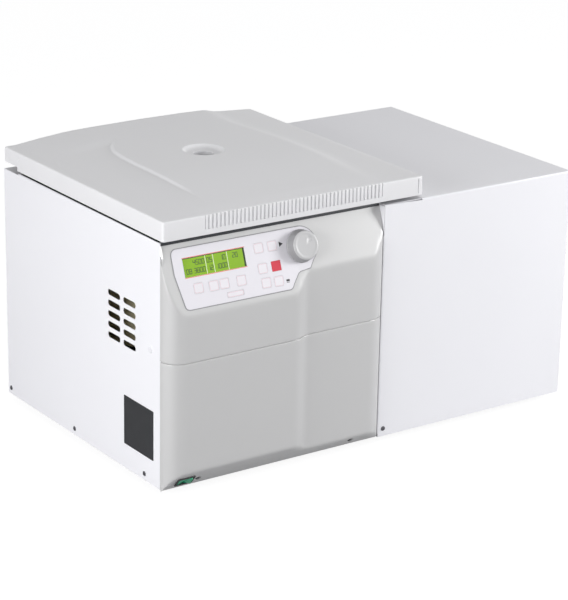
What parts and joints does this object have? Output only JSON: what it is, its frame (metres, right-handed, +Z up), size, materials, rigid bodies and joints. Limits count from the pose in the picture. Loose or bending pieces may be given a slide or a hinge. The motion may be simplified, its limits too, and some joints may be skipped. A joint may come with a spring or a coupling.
{
  "type": "refrigerated bench centrifuge",
  "caption": "Refrigerated bench centrifuge for milk fat and other samples, with a hinged lid over a round chamber, an angle rotor, a control panel and a cooling cabinet.",
  "frame": {"origin": "under the middle of the machine, on the surface that it stands on", "axes": "+X to the right along the longest side, +Y to the back, +Z up"},
  "size_m": [0.7174, 0.466, 0.4096],
  "materials": {
    "panel_white": "white powder coat, fine texture",
    "deck_grey": "light grey coat, satin",
    "chassis_steel": "zinc coated sheet",
    "fascia_plastic": "light grey moulding, fine grain",
    "lid_plastic": "light grey moulding, fine grain",
    "overlay_film": "printed membrane film, satin",
    "key_film": "membrane key, satin",
    "stop_film": "red membrane key, satin",
    "display_glass": "lit green display window",
    "knob_plastic": "grey moulding, satin",
    "switch_black": "black moulding",
    "rocker_green": "translucent green rocker",
    "plate_black": "bare dark film",
    "screw_steel": "blackened steel",
    "foot_rubber": "black rubber",
    "bowl_steel": "brushed stainless steel",
    "seal_rubber": "black sealing rubber",
    "foam": "cream insulating foam",
    "copper": "copper tube",
    "motor_case": "dark painted casting",
    "steel_part": "ground steel",
    "rotor_alloy": "anodised aluminium",
    "nut_plastic": "black moulding, knurled",
    "compressor_black": "black enamel",
    "fin_alloy": "mill finish fins",
    "fan_plastic": "dark moulding",
    "board_green": "circuit board",
    "liner_alloy": "satin pan",
    "window_clear": "clear plug",
    "latch_steel": "plated steel"
  },
  "bodies": {
    "housing": {"base_plate": "chassis_steel", "front_bulkhead": "chassis_steel", "partition_wall": "chassis_steel", "left_side_panel": "panel_white", "rear_panel": "panel_white", "cabinet_cover": "panel_white", "top_deck": "deck_grey", "upper_fascia": "fascia_plastic", "lower_fascia": "fascia_plastic", "control_overlay": "overlay_film", "display_window": "display_glass", "knob_encoder": "switch_black", "switch_housing": "switch_black", "rating_plate": "plate_black", "panel_screws": "screw_steel", "rubber_feet": "foot_rubber", "chamber_bowl": "bowl_steel", "chamber_gasket": "seal_rubber", "insulation_jacket": "foam", "evaporator_coil": "copper", "motor_bracket": "chassis_steel", "rubber_isolators": "foot_rubber", "drive_motor": "motor_case", "motor_bearings": "steel_part", "compressor": "compressor_black", "condenser": "fin_alloy", "fan_shroud": "fan_plastic", "refrigerant_lines": "copper", "control_board": "board_green", "drive_board": "board_green", "mains_inlet": "switch_black", "hinge_brackets": "latch_steel", "hinge_pins": "steel_part", "torsion_springs": "steel_part", "lock_motor": "motor_case"},
    "lid": {"lid_cover": "lid_plastic", "lid_liner": "liner_alloy", "port_window": "window_clear", "lid_hinge_arms": "latch_steel", "latch_strikers": "latch_steel"},
    "rotor": {"motor_shaft": "steel_part", "rotor": "rotor_alloy", "rotor_nut": "nut_plastic"},
    "fan": {"condenser_fan": "fan_plastic"},
    "knob": {"control_knob": "knob_plastic"},
    "rocker": {"power_rocker": "rocker_green"},
    "latch": {"latch_shaft": "latch_steel"},
    "fuse_drawer": {"fuse_drawer": "switch_black"},
    "release": {"release_plug": "knob_plastic"},
    "precool_key": {"precool_key": "key_film"},
    "start_key": {"start_key": "key_film"},
    "brake_key": {"brake_key": "key_film"},
    "stop_key": {"stop_key": "stop_film"},
    "lid_key": {"lid_key": "key_film"},
    "pulse_key": {"pulse_key": "key_film"},
    "speed_key": {"speed_key": "key_film"},
    "time_key": {"time_key": "key_film"},
    "rotor_key": {"rotor_key": "key_film"},
    "temperature_key": {"temperature_key": "key_film"},
    "program_key": {"program_key": "key_film"}
  },
  "joints": [
    {"name": "lid_hinge", "type": "hinge", "parent": "housing", "child": "lid", "pos_m": [-0.1355, 0.2117, 0.383], "axis": [-1, 0, 0], "range_deg": [0, 78], "stiffness_Nm_per_rad": 1.2, "springref_deg": 148.97},
    {"name": "rotor_spin", "type": "hinge", "parent": "housing", "child": "rotor", "pos_m": [-0.1355, 0.033, 0.112], "axis": [0, 0, 1], "continuous": true},
    {"name": "fan_spin", "type": "hinge", "parent": "housing", "child": "fan", "pos_m": [0.2173, 0.17, 0.151], "axis": [0, 1, 0], "continuous": true},
    {"name": "knob_turn", "type": "hinge", "parent": "housing", "child": "knob", "pos_m": [-0.1335, -0.21101, 0.32842], "axis": [0, -0.9397, 0.342], "continuous": true},
    {"name": "rocker_tilt", "type": "hinge", "parent": "housing", "child": "rocker", "pos_m": [-0.3262, -0.21692, 0.02683], "axis": [0, -0.6428, 0.766], "range_deg": [0, 14]},
    {"name": "latch_turn", "type": "hinge", "parent": "housing", "child": "latch", "pos_m": [-0.1355, -0.182, 0.33], "axis": [-1, 0, 0], "range_deg": [0, 32]},
    {"name": "fuse_drawer_slide", "type": "slide", "parent": "housing", "child": "fuse_drawer", "axis": [0, 1, 0], "range_m": [0, 0.018]},
    {"name": "release_pull", "type": "slide", "parent": "housing", "child": "release", "axis": [-1, 0, 0], "range_m": [0, 0.012]},
    {"name": "precool_key_press", "type": "slide", "parent": "housing", "child": "precool_key", "axis": [0, 0.9397, -0.342], "range_m": [0, 0.0007], "stiffness_N_per_m": 400},
    {"name": "start_key_press", "type": "slide", "parent": "housing", "child": "start_key", "axis": [0, 0.9397, -0.342], "range_m": [0, 0.0007], "stiffness_N_per_m": 400},
    {"name": "brake_key_press", "type": "slide", "parent": "housing", "child": "brake_key", "axis": [0, 0.9397, -0.342], "range_m": [0, 0.0007], "stiffness_N_per_m": 400},
    {"name": "stop_key_press", "type": "slide", "parent": "housing", "child": "stop_key", "axis": [0, 0.9397, -0.342], "range_m": [0, 0.0007], "stiffness_N_per_m": 400},
    {"name": "lid_key_press", "type": "slide", "parent": "housing", "child": "lid_key", "axis": [0, 0.9397, -0.342], "range_m": [0, 0.0007], "stiffness_N_per_m": 400},
    {"name": "pulse_key_press", "type": "slide", "parent": "housing", "child": "pulse_key", "axis": [0, 0.9397, -0.342], "range_m": [0, 0.0007], "stiffness_N_per_m": 400},
    {"name": "speed_key_press", "type": "slide", "parent": "housing", "child": "speed_key", "axis": [0, 0.9397, -0.342], "range_m": [0, 0.0007], "stiffness_N_per_m": 400},
    {"name": "time_key_press", "type": "slide", "parent": "housing", "child": "time_key", "axis": [0, 0.9397, -0.342], "range_m": [0, 0.0007], "stiffness_N_per_m": 400},
    {"name": "rotor_key_press", "type": "slide", "parent": "housing", "child": "rotor_key", "axis": [0, 0.9397, -0.342], "range_m": [0, 0.0007], "stiffness_N_per_m": 400},
    {"name": "temperature_key_press", "type": "slide", "parent": "housing", "child": "temperature_key", "axis": [0, 0.9397, -0.342], "range_m": [0, 0.0007], "stiffness_N_per_m": 400},
    {"name": "program_key_press", "type": "slide", "parent": "housing", "child": "program_key", "axis": [0, 0.9397, -0.342], "range_m": [0, 0.0007], "stiffness_N_per_m": 400}
  ]
}
